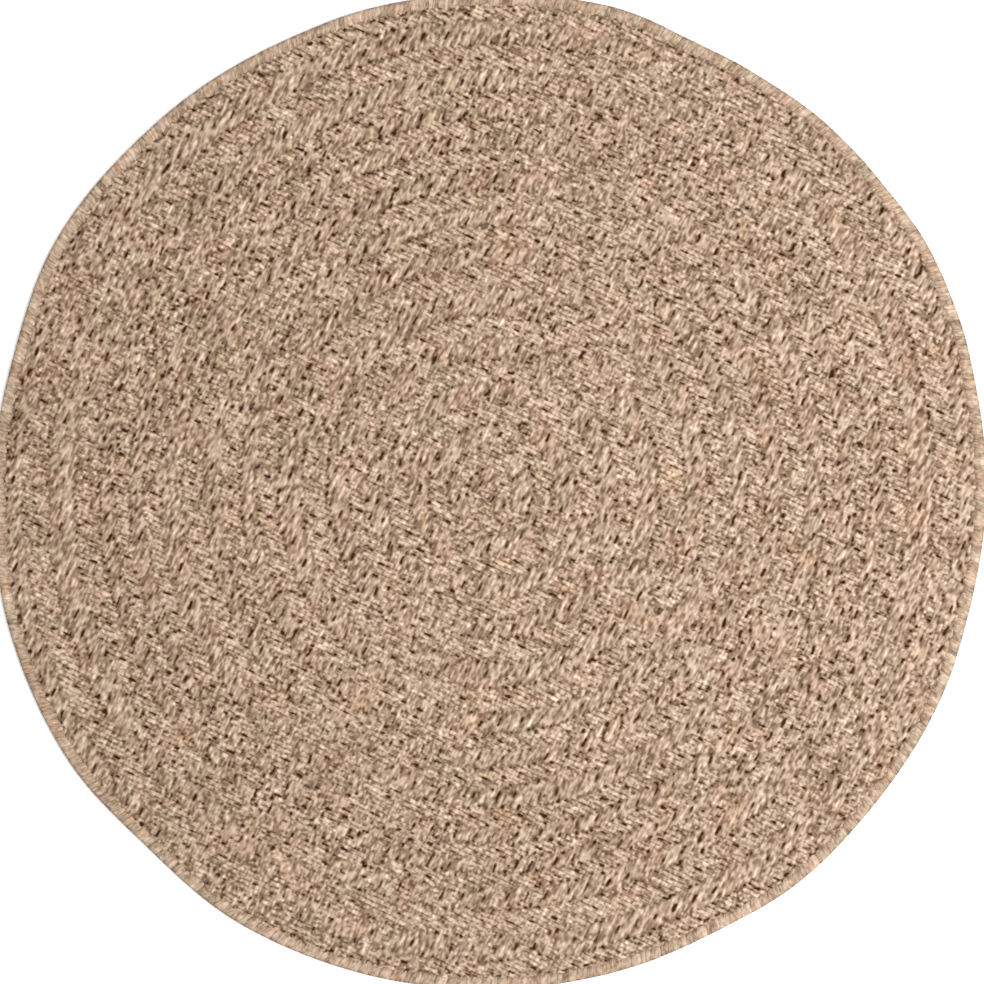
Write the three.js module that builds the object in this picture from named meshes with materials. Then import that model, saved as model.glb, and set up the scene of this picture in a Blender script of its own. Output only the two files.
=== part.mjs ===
// Round flat-woven outdoor rug with an overcast edge, lying flat.
// Millimetres, +Z up. The origin is the middle of the underside, on the surface the rug lies on.

import * as THREE from 'three';

// Driving dimensions of the rug
const RUG_RADIUS = 600;          // mean radius over the overcast edge
const CLOTH_CREST_HEIGHT = 5.0;  // top of each half-round of the braid relief
const ROUND_GROOVE_DEPTH = 0.9;  // between one round and the next
const SPINE_GROOVE_DEPTH = 0.5;  // along the middle of a round, where its two strands meet
const AROUND_STEPS = 96;         // facets around the rug

// Overcast edge
const EDGE_WIDTH = 12;           // how far the stitches reach in over the cloth
const EDGE_HEIGHT = 6.2;
const EDGE_YARN = 1.1;           // thickness of the wrapped yarn above, below and outside the cloth
const SEAT_GAP = 0.3;            // kept between the cloth and the yarn around it

// Uneven outline, taken around from +X towards +Y: how far the edge lies outside the mean radius
const OUTLINE = [
  { degrees: 0, out: -1.0 },
  { degrees: 11, out: 0.1 },
  { degrees: 21, out: 4.0 },
  { degrees: 30, out: 6.0 },
  { degrees: 38, out: 2.0 },
  { degrees: 48, out: 1.2 },
  { degrees: 57, out: -2.7 },
  { degrees: 65, out: -4.4 },
  { degrees: 75, out: 2.8 },
  { degrees: 90, out: 0.4 },
  { degrees: 104, out: 0.2 },
  { degrees: 114, out: -2.4 },
  { degrees: 132, out: -0.6 },
  { degrees: 150, out: 4.4 },
  { degrees: 165, out: -2.9 },
  { degrees: 180, out: -0.5 },
  { degrees: 196, out: 3.0 },
  { degrees: 212, out: 3.4 },
  { degrees: 226, out: -4.3 },
  { degrees: 240, out: 2.4 },
  { degrees: 255, out: 1.8 },
  { degrees: 270, out: 0.4 },
  { degrees: 285, out: -0.6 },
  { degrees: 297, out: -2.9 },
  { degrees: 308, out: 1.5 },
  { degrees: 321, out: -1.5 },
  { degrees: 335, out: -0.8 },
  { degrees: 346, out: -3.7 },
];

// The closed rounds of the woven braid, from the middle outwards, as wide and narrow as in the rug: the
// radius of each round's spine, where its strands change their slant, and of its outer side
const ROUNDS = [
  { spine: 27, outer: 53 },
  { spine: 78, outer: 104 },
  { spine: 129, outer: 154 },
  { spine: 178, outer: 205 },
  { spine: 236, outer: 265 },
  { spine: 290, outer: 311 },
  { spine: 333, outer: 355 },
  { spine: 380, outer: 405 },
  { spine: 424, outer: 442 },
  { spine: 460, outer: 477 },
  { spine: 504, outer: 536 },
  { spine: 566, outer: 588 },
];

// The rounds also wander in and out around the rug, most about half way to the edge: the peak is the
// angle in degrees where a wave lies furthest out
const WANDER = [
  { waves: 1, size: 6, peak: 42 },
  { waves: 2, size: 5, peak: 100 },
];

const TAU = 2 * Math.PI;

// How far the outline lies out at an angle, eased smoothly between the rows of the table
function outlineOffset(angle) {
  const degrees = ((THREE.MathUtils.radToDeg(angle) % 360) + 360) % 360;
  let row = OUTLINE.length - 1;
  while (OUTLINE[row].degrees > degrees) {
    row -= 1;
  }
  const from = OUTLINE[row];
  const to = OUTLINE[(row + 1) % OUTLINE.length];
  const span = (to.degrees - from.degrees + 360) % 360;
  const eased = THREE.MathUtils.smoothstep((degrees - from.degrees) / span, 0, 1);
  return THREE.MathUtils.lerp(from.out, to.out, eased);
}

// How far the rounds have wandered out at an angle
function wanderOffset(angle) {
  let offset = 0;
  for (const { waves, size, peak } of WANDER) {
    offset += size * Math.cos(waves * (angle - THREE.MathUtils.degToRad(peak)));
  }
  return offset;
}

// Turns a closed profile of [radius, height] pairs around +Z, then moves each point in or out, so
// that the rim follows the outline, the rounds wander and the middle stays where it is
function turnedSolid(profile) {
  const points = profile.map(([radius, height]) => new THREE.Vector2(radius, height));
  const geometry = new THREE.LatheGeometry(points, AROUND_STEPS);
  geometry.rotateX(Math.PI / 2);
  const position = geometry.attributes.position;
  for (let index = 0; index < position.count; index += 1) {
    const x = position.getX(index);
    const y = position.getY(index);
    const radius = Math.hypot(x, y);
    const angle = Math.atan2(y, x);
    const share = Math.min(radius / (RUG_RADIUS - EDGE_WIDTH), 1);
    const rimPull = share ** 3 * outlineOffset(angle);
    const roundPull = Math.sin(Math.PI * share) * wanderOffset(angle);
    const moved = radius + rimPull + roundPull;
    position.setXY(index, moved * Math.cos(angle), moved * Math.sin(angle));
  }
  geometry.computeVertexNormals();
  return geometry;
}

// The woven cloth: flat below, with the braid's rounds as low ridges above, and a thinner rim that
// the overcast yarn closes around
function clothProfile() {
  const seatRadius = RUG_RADIUS - EDGE_WIDTH - SEAT_GAP;
  const rimRadius = RUG_RADIUS - EDGE_YARN - SEAT_GAP;
  const rimBottom = EDGE_YARN + SEAT_GAP;
  const rimTop = EDGE_HEIGHT - EDGE_YARN - SEAT_GAP;
  const profile = [[0, 0], [seatRadius, 0], [seatRadius, rimBottom], [rimRadius, rimBottom]];
  profile.push([rimRadius, rimTop], [seatRadius, rimTop - SEAT_GAP]);
  for (let round = ROUNDS.length - 1; round >= 0; round -= 1) {
    const { spine, outer } = ROUNDS[round];
    const inner = round > 0 ? ROUNDS[round - 1].outer : 0;
    profile.push([(spine + outer) / 2, CLOTH_CREST_HEIGHT]);
    profile.push([spine, CLOTH_CREST_HEIGHT - SPINE_GROOVE_DEPTH]);
    profile.push([(inner + spine) / 2, CLOTH_CREST_HEIGHT]);
    profile.push([inner, CLOTH_CREST_HEIGHT - ROUND_GROOVE_DEPTH]);
  }
  return profile;
}

// The overcast edge: a rounded band with a slot on its inner side for the cloth's rim
function edgeProfile() {
  const inner = RUG_RADIUS - EDGE_WIDTH;
  const slot = RUG_RADIUS - EDGE_YARN;
  const outer = RUG_RADIUS;
  const shoulder = RUG_RADIUS - 0.25 * EDGE_WIDTH;
  const corner = RUG_RADIUS - 0.07 * EDGE_WIDTH;
  return [
    [inner, 0],
    [shoulder, 0],
    [corner, 0.22 * EDGE_HEIGHT],
    [outer, 0.5 * EDGE_HEIGHT],
    [corner, 0.78 * EDGE_HEIGHT],
    [shoulder, EDGE_HEIGHT],
    [inner + 0.25 * EDGE_WIDTH, EDGE_HEIGHT],
    [inner, EDGE_HEIGHT - 0.6 * EDGE_YARN],
    [inner, EDGE_HEIGHT - EDGE_YARN],
    [slot, EDGE_HEIGHT - EDGE_YARN],
    [slot, EDGE_YARN],
    [inner, EDGE_YARN],
    [inner, 0],
  ];
}

function clothMesh() {
  const material = new THREE.MeshStandardMaterial({ color: 0xb2977f, roughness: 0.9, metalness: 0 });
  const mesh = new THREE.Mesh(turnedSolid(clothProfile()), material);
  mesh.name = 'rug_cloth';
  return mesh;
}

function edgeMesh() {
  const material = new THREE.MeshStandardMaterial({ color: 0xc6ac94, roughness: 0.85, metalness: 0 });
  const mesh = new THREE.Mesh(turnedSolid(edgeProfile()), material);
  mesh.name = 'overcast_edge';
  return mesh;
}

const rug = new THREE.Group();
rug.add(clothMesh());
rug.add(edgeMesh());

export default rug;
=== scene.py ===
"""Round flat-woven outdoor rug with an overcast edge, laid flat and seen from straight above."""

import math

import bmesh
import bpy
import numpy as np
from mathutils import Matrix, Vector


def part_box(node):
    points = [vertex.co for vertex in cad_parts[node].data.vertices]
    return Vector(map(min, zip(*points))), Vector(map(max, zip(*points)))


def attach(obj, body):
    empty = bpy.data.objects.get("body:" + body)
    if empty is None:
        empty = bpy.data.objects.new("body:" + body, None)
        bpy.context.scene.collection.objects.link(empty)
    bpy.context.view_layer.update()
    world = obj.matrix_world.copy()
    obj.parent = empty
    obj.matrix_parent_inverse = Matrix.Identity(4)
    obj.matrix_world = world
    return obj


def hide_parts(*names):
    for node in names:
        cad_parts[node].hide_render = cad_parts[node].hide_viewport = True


bl_info = {
    "name": "Woven Outdoor Rug",
    "version": (1, 0, 0),
    "blender": (4, 5, 0),
    "location": "View3D > Sidebar > Rug",
    "description": "Builds the woven top, the ground cloth and the overcast edge of a round flat-woven rug",
    "category": "Add Mesh",
}

MM = 0.001
TAU = 2 * math.pi

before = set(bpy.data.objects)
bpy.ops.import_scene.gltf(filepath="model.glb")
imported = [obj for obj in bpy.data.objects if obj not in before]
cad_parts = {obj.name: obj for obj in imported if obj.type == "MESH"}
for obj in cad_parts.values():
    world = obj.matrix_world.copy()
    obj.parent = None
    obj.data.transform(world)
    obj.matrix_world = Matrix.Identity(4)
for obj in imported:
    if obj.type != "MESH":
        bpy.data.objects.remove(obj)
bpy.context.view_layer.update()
_, CLOTH_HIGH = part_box("rug_cloth")
EDGE_LOW, EDGE_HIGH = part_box("overcast_edge")

# The rounds of the woven braid, from the middle outwards, as wide and narrow as in the rug: the radius
# of each round's spine, where its strands change their slant, and of its outer side, in millimetres
ROUNDS = [
    {"spine": 27, "outer": 53},
    {"spine": 78, "outer": 104},
    {"spine": 129, "outer": 154},
    {"spine": 178, "outer": 205},
    {"spine": 236, "outer": 265},
    {"spine": 290, "outer": 311},
    {"spine": 333, "outer": 355},
    {"spine": 380, "outer": 405},
    {"spine": 424, "outer": 442},
    {"spine": 460, "outer": 477},
    {"spine": 504, "outer": 536},
    {"spine": 566, "outer": 588},
]

# How the rounds wander in and out around the rug, in waves: the size is in millimetres, and the peak
# is the angle in degrees where a wave lies furthest out
WANDER = [
    {"waves": 1, "size": 6.0, "peak": 42},
    {"waves": 2, "size": 5.0, "peak": 100},
]

# The section of the overcast edge, from the stitches' inner ends over the top, around the outer side
# and back underneath, in millimetres inwards from the outline and upwards from the floor
EDGE_SECTION = [
    {"inward": 15.6, "height": 2.9},
    {"inward": 14.6, "height": 4.2},
    {"inward": 13.0, "height": 5.2},
    {"inward": 10.4, "height": 6.0},
    {"inward": 6.9, "height": 6.2},
    {"inward": 4.0, "height": 6.0},
    {"inward": 2.0, "height": 5.4},
    {"inward": 0.6, "height": 4.3},
    {"inward": 0.0, "height": 3.1},
    {"inward": 0.6, "height": 1.8},
    {"inward": 2.0, "height": 0.7},
    {"inward": 4.0, "height": 0.1},
    {"inward": 8.0, "height": 0.0},
    {"inward": 12.0, "height": 0.0},
    {"inward": 14.8, "height": 0.4},
    {"inward": 15.6, "height": 1.4},
]
STITCH_SHARES = (0.0, 0.12, 0.3, 0.5, 0.7, 0.88)  # where a stitch has points across its width

EDGE_WIDTH = 12 * MM  # how far the overcast edge's solid reaches in over the cloth
ROUND_GROOVE = 0.9 * MM  # depth between one round and the next
SPINE_GROOVE = 0.5 * MM  # depth along the middle of a round
GROUND_TOP = 1.8 * MM  # the ground cloth's highest point, under the woven top
GROUND_STEPS = 128  # faces of the ground cloth around the rug
UNDERSIDE_TOP = 1.45 * MM  # faces of the ground cloth below this height belong to its underside
BAND_BOTTOM = 1.7 * MM  # the underside of the woven top, just inside the ground cloth
NEEDLE_INSET = 17.2 * MM  # from the outline in to the needle holes
NEEDLE_LINE_WIDTH = 2.2 * MM  # half-width of the line that the needle has drawn down
SWAY = 0.5 * MM  # how far the yarns have shifted out of their straight lines
ROUND_START = 0.37  # how much of a strand further on each round starts than the one inside it

BLOCK_COLUMNS, BLOCK_ROWS = 3, 2  # crossings in a block of the weave
BLOCK_CHANCE = 0.7  # how much a block's yarns keep together, the rest is drawn for each crossing
STRAND_CHANCE = 0.2  # how much a strand's own share of lengthwise yarns differs

# The hollows of the weave, in millimetres: how wide each kind is across, its shortest and longest length
# beyond that, and how unevenly it is placed in and out; how unevenly it is placed around the rug, as a
# share of the way to the next one; and how its depth varies
HOLLOWS = {
    "slit_lengthwise": {
        "width": 1.0, "shortest": 5, "longest": 10, "spread": 1.5, "around": 0.07, "varies": 0.25
    },
    "slit_crosswise": {
        "width": 1.0, "shortest": 3, "longest": 7, "spread": 1.5, "around": 0.07, "varies": 0.25
    },
    "border": {
        "width": 1.2, "shortest": 0, "longest": 3, "spread": 1.5, "around": 0.2, "varies": 0.3
    },
    "needle": {
        "width": 1.2, "shortest": 0.5, "longest": 4, "spread": 0.8, "varies": 0.25
    },
    "float_end": {"width": 1.1, "shortest": 0, "longest": 2},
}
FLOAT_END_SHARE = 0.42  # of the lengthwise floats that come up beside a small hollow
FLOAT_END_DEPTHS = (0.32, 0.7)  # of these hollows, from the shallowest to the deepest
NEEDLE_DEPTH = 0.5  # of a needle hole, as a share of the deepest plain hollow
STITCH_UNEVEN = 0.17  # how unevenly the stitches start, as a share of a stitch

# What a lengthwise float's tone is made of, and from which tone on it shines with a painted highlight
TONE_PARTS = {"own": 0.45, "long": 0.45, "shining": 1.2, "by_turns": 0.6}
SHINING_FROM = 0.28

# How much lighter or darker each part of the weave makes the yarns: the bulge and the arches paint
# highlight on crests and shade at their sides and ends, the hollows and the groove paint shade
LIGHT_PARTS = {
    "strand": 0.04,
    "bulge": 0.08,
    "tone": 0.24,
    "arch": 0.02,
    "crosswise_arch": 0.15,
    "hollow": -0.62,
    "groove": -0.04,
}
END_DIPS = (0.4, 1.0)  # how far the ends of the floats dip, from the least to the most
END_DIP_SHARE = 0.9  # of a float's arch, for the end that dips the most
WOVEN_LIGHT = 0.455  # the lightness in the middle of all these, on top and underneath
UNDERSIDE_LIGHT = 0.46

# Heights in the woven relief
BULGE_HEIGHT = 0.45 * MM  # of a strand's middle over its sides
ARCH_HEIGHT = 0.3 * MM  # of a float's middle over its ends
TONE_HEIGHT = 0.25 * MM  # of a light float over a dark one
HOLLOW_DEPTH = 1.35 * MM  # of the deepest plain hollow
NEEDLE_LINE_DEPTH = 0.4 * MM
JITTER_HEIGHT = 0.02 * MM  # small unevenness of every point
FINE_STEPS = 3  # points of the woven surface a crossing, each way
BAND_TRIANGLES = 190000  # the most in one piece of the woven top


# The picture, in pixels: its width, the rug's mean diameter, and how far the rug's middle lies left of
# the picture's middle and above it
PICTURE_WIDTH = 984
RUG_WIDTH = 996
LEFT_OF_MIDDLE, ABOVE_MIDDLE = 2.3, 0.7


def linear(red, green, blue):
    """A colour given as screen values from 0 to 255, as the linear values that materials take."""
    shares = (value / 255 for value in (red, green, blue))
    return tuple(s / 12.92 if s <= 0.04045 else ((s + 0.055) / 1.055) ** 2.4 for s in shares)


def edge_outline():
    """Angles and radii of the uneven outline, from the widest line of the edge's solid."""
    corners = np.array([v.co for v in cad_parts["overcast_edge"].data.vertices])
    middle = (EDGE_LOW.z + EDGE_HIGH.z) / 2
    radius = np.hypot(corners[:, 0], corners[:, 1])
    widest = (abs(corners[:, 2] - middle) < 0.3 * MM) & (radius > radius.max() - 0.9 * EDGE_WIDTH)
    angles = np.round(np.arctan2(corners[widest, 1], corners[widest, 0]) % TAU, 5)
    steps, first = np.unique(angles, return_index=True)
    return steps, radius[widest][first]


OUTLINE_ANGLES, OUTLINE_RADII = edge_outline()
MEAN_RADIUS = float(OUTLINE_RADII.mean())


def outline_radius(angle):
    """The outline's radius at each angle, on a smooth line through the solid's corners."""
    count = len(OUTLINE_ANGLES)
    place = (np.asarray(angle) - OUTLINE_ANGLES[0]) % TAU / TAU * count
    start = np.floor(place).astype(int)
    share = place - start
    before, here, after, beyond = (OUTLINE_RADII[(start + k) % count] for k in (-1, 0, 1, 2))
    slope_here = (after - before) / 2
    slope_after = (beyond - here) / 2
    rise = after - here
    bend = 3 * rise - 2 * slope_here - slope_after
    return here + share * (slope_here + share * (bend + share * (slope_here + slope_after - 2 * rise)))


def wander(angle):
    """How far the rounds have wandered outwards at an angle, in metres."""
    total = 0.0
    for wave in WANDER:
        total = total + wave["size"] * MM * np.cos(wave["waves"] * (angle - math.radians(wave["peak"])))
    return total


def pulls(radius, angle):
    """How far the uneven outline and the wander have pulled a point outwards, as in the cloth's solid."""
    share = np.minimum(radius / (MEAN_RADIUS - EDGE_WIDTH), 1)
    return share**3 * (outline_radius(angle) - MEAN_RADIUS), np.sin(math.pi * share) * wander(angle)


def braid_radius(x, y):
    """The radius of a point in the even braid, with both pulls taken out, and the point's angle."""
    radius = np.hypot(x, y)
    angle = np.arctan2(y, x)
    rim_pull, round_pull = pulls(radius, angle)
    return radius - rim_pull - round_pull, angle


def cloth_pull(radius, angle):
    """The place of an even radius in the uneven rug."""
    rim_pull, round_pull = pulls(radius, angle)
    return radius + rim_pull + round_pull


def half_rounds():
    """The borders of the half-rounds and, for each half-round, its slant and its number of strands."""
    borders = [0.0]
    halves = []
    for row in ROUNDS:
        for side, slant in (("spine", 1), ("outer", -1)):
            borders.append(row[side] * MM)
            halves.append((slant, row["spine"] * MM))
    return np.array(borders), halves


def strands_around(spine, sizes):
    """How many strands a half-round has."""
    arc_pitch = sizes.strand_width / math.sin(sizes.strand_slant)
    return np.maximum(np.round(TAU * spine / arc_pitch), 3)


def strand_shift(index, slant, from_spine, sizes):
    """How far the strands have moved on, as a share of a strand, at a distance from the round's spine."""
    round_start = (index // 2) * ROUND_START
    return from_spine * math.cos(sizes.strand_slant) / sizes.strand_width + slant * round_start


def braid_place(x, y, sizes):
    """Where points lie in the braid: in which half-round and strand, how far across, and its direction."""
    radius, angle = braid_radius(x, y)
    borders, halves = half_rounds()
    index = np.clip(np.searchsorted(borders, radius) - 1, 0, len(halves) - 1)
    slant = np.array([half[0] for half in halves])[index]
    spines = np.array([half[1] for half in halves])[index]
    strands = strands_around(spines, sizes)
    phase = slant * strands * angle / TAU + strand_shift(index, slant, radius - spines, sizes)
    number = np.floor(phase)
    across = phase - number
    direction = angle + math.pi / 2 + slant * sizes.strand_slant
    return {
        "radius": radius,
        "angle": angle,
        "half": index,
        "strand": number,
        "across": across,
        "direction": direction,
    }


def repeatable_noise(*keys):
    """An even random number from 0 to 1 for each set of whole-number keys, the same every time."""
    total = np.zeros(np.broadcast(*keys).shape)
    for key, factor in zip(keys, (12.9898, 78.233, 37.719, 93.989)):
        total = total + np.asarray(key) * factor
    return np.abs(np.sin(total) * 43758.5453) % 1


def sway(x, y):
    """How far the yarns have shifted out of their straight lines at each point, in metres."""
    slow_x = np.sin(x / (19 * MM) + 1.3 * np.sin(y / (27 * MM)))
    slow_y = np.sin(y / (16 * MM) + 1.7 * np.sin(x / (23 * MM)))
    return SWAY * (slow_y + slow_x), SWAY * (slow_x - slow_y)


class Weave:
    """The grid of crossings, and the finer grid of points that the woven surface is made of."""

    def __init__(self, sizes):
        self.sizes = sizes
        reach = MEAN_RADIUS + 10 * MM
        self.columns = int(2 * reach / sizes.lengthwise_pitch)
        self.rows = int(2 * reach / sizes.crosswise_pitch)
        self.along_way = (math.cos(sizes.lengthwise_angle), math.sin(sizes.lengthwise_angle))
        self.cross_way = (math.sin(sizes.lengthwise_angle), -math.cos(sizes.lengthwise_angle))

    def place_of(self, column, row):
        """The x and y of a point given in crossings from the grid's corner."""
        u = (column - self.columns / 2) * self.sizes.lengthwise_pitch
        v = (row - self.rows / 2) * self.sizes.crosswise_pitch
        x = u * self.cross_way[0] + v * self.along_way[0]
        y = u * self.cross_way[1] + v * self.along_way[1]
        return x, y

    def crossing_of(self, x, y):
        """The column and row, in crossings from the grid's corner, of a point given in metres."""
        u = x * self.cross_way[0] + y * self.cross_way[1]
        v = x * self.along_way[0] + y * self.along_way[1]
        column = u / self.sizes.lengthwise_pitch + self.columns / 2
        row = v / self.sizes.crosswise_pitch + self.rows / 2
        return column, row

    def crossings(self):
        """Grids of the columns and rows of all crossings, and the places of their middles."""
        column, row = np.meshgrid(np.arange(self.columns), np.arange(self.rows), indexing="ij")
        x, y = self.place_of(column + 0.5, row + 0.5)
        return column, row, x, y

    def points(self):
        """Grids of the finer points, in crossings from the grid's corner."""
        column = np.arange(FINE_STEPS * self.columns + 1) / FINE_STEPS
        row = np.arange(FINE_STEPS * self.rows + 1) / FINE_STEPS
        return np.meshgrid(column, row, indexing="ij")


def strand_number(place, turn):
    """An even random number from 0 to 1 for each strand, another one for each turn."""
    return repeatable_noise(place["half"], place["strand"] + turn)


def lengthwise_on_top(weave):
    """Where the lengthwise yarn lies on top.

    The weave goes over and under in small blocks, offset from one row of blocks to the next. A strand
    is woven with the yarns that run nearest to its own direction.
    """
    sizes = weave.sizes
    rng = np.random.default_rng(sizes.seed)
    column, row, x, y = weave.crossings()
    place = braid_place(x, y, sizes)
    block_row = row // BLOCK_ROWS
    block_column = (column + np.floor(BLOCK_COLUMNS * repeatable_noise(block_row))) // BLOCK_COLUMNS
    block = repeatable_noise(block_column, block_row)
    order = BLOCK_CHANCE * block + (1 - BLOCK_CHANCE) * rng.random(x.shape)
    leaning = np.cos(2 * (place["direction"] - sizes.lengthwise_angle))
    strand_noise = strand_number(place, 500)
    return 0.5 + sizes.leaning * leaning + STRAND_CHANCE * (strand_noise - 0.5) > order


def float_tones(family_line, family_step, float_length):
    """A tone for each crossing that stays the same along a float, and where a float ends."""
    start = np.floor(float_length * repeatable_noise(family_line, 31))
    number = (family_step + start) // float_length
    tone = repeatable_noise(family_line, number) - 0.5
    return tone, number


def spread_to_points(shape, heights):
    """Averages what the crossings around each finer point say, given for each point of a crossing."""
    columns, rows = FINE_STEPS * shape[0], FINE_STEPS * shape[1]
    total = np.zeros((columns + 1, rows + 1))
    count = np.zeros(total.shape)
    for a in range(FINE_STEPS + 1):
        for b in range(FINE_STEPS + 1):
            window = (slice(a, a + columns, FINE_STEPS), slice(b, b + rows, FINE_STEPS))
            total[window] += heights(a, b)
            count[window] += 1
    return total / count


def hollow_length(kind, rng):
    """A length in metres between the shortest and the longest of a kind of hollow."""
    return rng.uniform(HOLLOWS[kind]["shortest"], HOLLOWS[kind]["longest"]) * MM


def hollow_strength(kind, middle, rng):
    """A depth around the middle one of a kind of hollow, as a share of the deepest plain one."""
    return middle + rng.normal(0, HOLLOWS[kind]["varies"])


def hollow_shift(kind, rng):
    """How far a hollow has moved in or out, in metres."""
    return rng.normal(0, HOLLOWS[kind]["spread"] * MM)


def stamp_hollow(hollows, weave, kind, spot, direction, length, strength):
    """Presses a round or long hollow into the grid of finer points."""
    column, row = weave.crossing_of(*spot)
    k, l = int(round(column * FINE_STEPS)), int(round(row * FINE_STEPS))
    reach = 3 + int(length / 2 / MM)
    near = (slice(max(k - reach, 0), k + reach + 1), slice(max(l - reach, 0), l + reach + 1))
    ks, ls = np.mgrid[near]
    px, py = weave.place_of(ks / FINE_STEPS, ls / FINE_STEPS)
    cx, cy = weave.place_of(k / FINE_STEPS, l / FINE_STEPS)
    along = (px - cx) * math.cos(direction) + (py - cy) * math.sin(direction)
    across = (py - cy) * math.cos(direction) - (px - cx) * math.sin(direction)
    beyond = np.maximum(np.abs(along) - length / 2, 0)
    width = HOLLOWS[kind]["width"] * MM
    depth = strength * np.exp(-(across**2 + beyond**2) / (2 * width**2))
    hollows[near] = np.maximum(hollows[near], depth)


def stitch_starts(sizes):
    """Where each overcast stitch starts, counted in stitches around the rug."""
    rng = np.random.default_rng(sizes.seed + 3)
    count = 2 * round(TAU * MEAN_RADIUS / sizes.stitch_pitch / 2)
    return np.arange(count) + rng.normal(0, STITCH_UNEVEN, count)


def stitch_lean(inward, sizes):
    """How many stitches the slanted yarn has moved on, at a distance in from the outline."""
    return inward * math.tan(sizes.stitch_slant) / sizes.stitch_pitch


def polar(radius, angle):
    """The x and y of a point at a distance and an angle from the middle."""
    return radius * math.cos(angle), radius * math.sin(angle)


def hollows_between(weave):
    """Depth of the hollows at each finer point, as a share of the deepest plain one."""
    sizes = weave.sizes
    rng = np.random.default_rng(sizes.seed + 1)
    hollows = np.zeros((FINE_STEPS * weave.columns + 1, FINE_STEPS * weave.rows + 1))
    along_angle = sizes.lengthwise_angle
    borders, halves = half_rounds()
    for index, (slant, spine) in enumerate(halves):
        strands = int(strands_around(spine, sizes))
        inner, outer = borders[index], borders[index + 1]
        # Slits in the middle of the half-round, along the yarns that run nearest to its strands
        radius = (inner + outer) / 2
        numbers = np.arange(strands) + rng.normal(0, HOLLOWS["slit_lengthwise"]["around"], strands)
        angles = TAU * (numbers - strand_shift(index, slant, radius - spine, sizes)) / (slant * strands)
        for angle in angles:
            strength = hollow_strength("slit_lengthwise", sizes.slit_depth, rng)
            out = cloth_pull(radius + hollow_shift("slit_lengthwise", rng), angle)
            direction = angle + math.pi / 2 + slant * sizes.strand_slant
            lengthwise = math.cos(2 * (direction - along_angle)) > 0
            kind = "slit_lengthwise" if lengthwise else "slit_crosswise"
            way = along_angle if lengthwise else along_angle - math.pi / 2
            length = hollow_length(kind, rng)
            way += rng.normal(0, math.radians(4))
            stamp_hollow(hollows, weave, kind, polar(out, angle), way, length, strength)
        # Round hollows along the half-round's outer border
        count = max(int(TAU * outer / sizes.hollow_pitch), 3)
        angles = (np.arange(count) + rng.normal(0, HOLLOWS["border"]["around"], count)) * TAU / count
        for angle in angles:
            strength = hollow_strength("border", sizes.hollow_depth, rng)
            out = cloth_pull(outer + hollow_shift("border", rng), angle)
            way = along_angle - rng.integers(0, 2) * math.pi / 2
            length = hollow_length("border", rng)
            stamp_hollow(hollows, weave, "border", polar(out, angle), way, length, strength)
    # Small hollows where a lengthwise float comes up
    up = lengthwise_on_top(weave)
    _, _, cross_x, cross_y = weave.crossings()
    within = np.hypot(cross_x, cross_y) < MEAN_RADIUS - 1.5 * EDGE_WIDTH
    comes_up = up & ~np.roll(up, 1, axis=1) & within
    for column, row in np.argwhere(comes_up & (rng.random(up.shape) < FLOAT_END_SHARE)):
        spot = weave.place_of(column + rng.uniform(0, 1), row)
        strength = rng.uniform(*FLOAT_END_DEPTHS)
        length = hollow_length("float_end", rng)
        stamp_hollow(hollows, weave, "float_end", spot, along_angle, length, strength)
    # Needle holes, each shared by two stitches of the edge
    starts = stitch_starts(sizes)
    for middle in starts[1::2]:
        angle = (middle + stitch_lean(NEEDLE_INSET, sizes)) * TAU / len(starts)
        out = float(outline_radius(angle)) - NEEDLE_INSET + hollow_shift("needle", rng)
        strength = hollow_strength("needle", NEEDLE_DEPTH, rng)
        length = hollow_length("needle", rng)
        stamp_hollow(hollows, weave, "needle", polar(out, angle), angle + math.pi / 2, length, strength)
    return np.clip(hollows, 0, 1.3)


def goes_on(on_top, axis, floats):
    """Where the float on top is the one of the crossing before, along an axis."""
    return on_top & np.roll(on_top, 1, axis) & (np.roll(floats, 1, axis) == floats)


def arch_at(step):
    """A float's height across it: down at both sides of a crossing, and up between them."""
    return 0.0 if step in (0, FINE_STEPS) else 1.0


def end_at(step, end, axis):
    """How far a float has dipped at its ends, at a point of a crossing along it."""
    if step == 0:
        return end
    if step == FINE_STEPS:
        return np.roll(end, -1, axis)
    return 0.0


def braid_grooves(place):
    """Depth in metres of the grooves along the spines and between the rounds."""
    borders, _ = half_rounds()
    index = place["half"]
    share = (place["radius"] - borders[index]) / (borders[index + 1] - borders[index])
    spine_outside = index % 2 == 0
    inner_drop = np.where(spine_outside, ROUND_GROOVE, SPINE_GROOVE)
    outer_drop = np.where(spine_outside, SPINE_GROOVE, ROUND_GROOVE)
    return inner_drop * np.clip(1 - 2 * share, 0, 1) + outer_drop * np.clip(2 * share - 1, 0, 1)


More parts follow.
